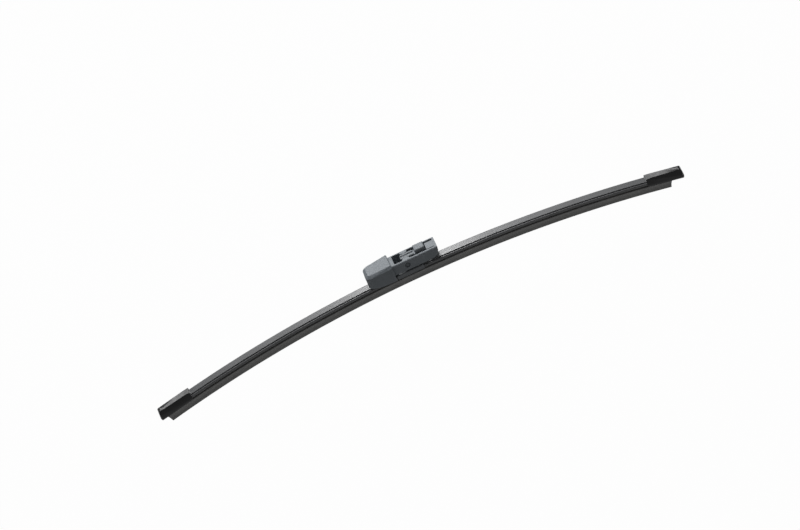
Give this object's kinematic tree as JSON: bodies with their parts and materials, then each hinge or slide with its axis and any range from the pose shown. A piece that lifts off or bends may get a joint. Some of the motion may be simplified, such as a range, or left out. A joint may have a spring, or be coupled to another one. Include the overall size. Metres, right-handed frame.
{
  "type": "wiper blade",
  "caption": "Flat bowed wiper blade: a wiping rubber on spring rails under a low spoiler, closed by end caps, rocking on a pin in a slide-on arm adapter with a lock button.",
  "frame": {"origin": "middle of the pivot axis, which is also the middle of the arm's channel on the adapter", "axes": "+X along the blade, from the adapter's nose towards its free end, +Y to the rear of the blade, +Z away from the glass"},
  "size_m": [0.382, 0.016, 0.0461],
  "materials": {
    "wiping_rubber": "coated matte",
    "spring_steel": "rolled",
    "spoiler": "extruded satin",
    "cap_plastic": "polished moulding",
    "carrier_plastic": "moulded",
    "pin_steel": "turned",
    "adapter_plastic": "fine moulded grain",
    "button_plastic": "fine moulded grain"
  },
  "bodies": {
    "adapter": {"adapter": "adapter_plastic", "pivot_pin": "pin_steel"},
    "blade": {"wiping_rubber": "wiping_rubber", "spring_rail_front": "spring_steel", "spring_rail_rear": "spring_steel", "spoiler_left": "spoiler", "spoiler_right": "spoiler", "end_cap_left": "cap_plastic", "end_cap_right": "cap_plastic", "carrier": "carrier_plastic"},
    "button": {"lock_button": "button_plastic"}
  },
  "joints": [
    {"name": "blade_rock", "type": "hinge", "parent": "adapter", "child": "blade", "pos_m": [0, 0, 0], "axis": [0, 1, 0], "range_deg": [-6, 6]},
    {"name": "button_press", "type": "hinge", "parent": "adapter", "child": "button", "pos_m": [-0.0003, 0, 0.00305], "axis": [0, 1, 0], "range_deg": [0, 9.8], "stiffness_Nm_per_rad": 0.25, "springref_deg": -2.86}
  ]
}
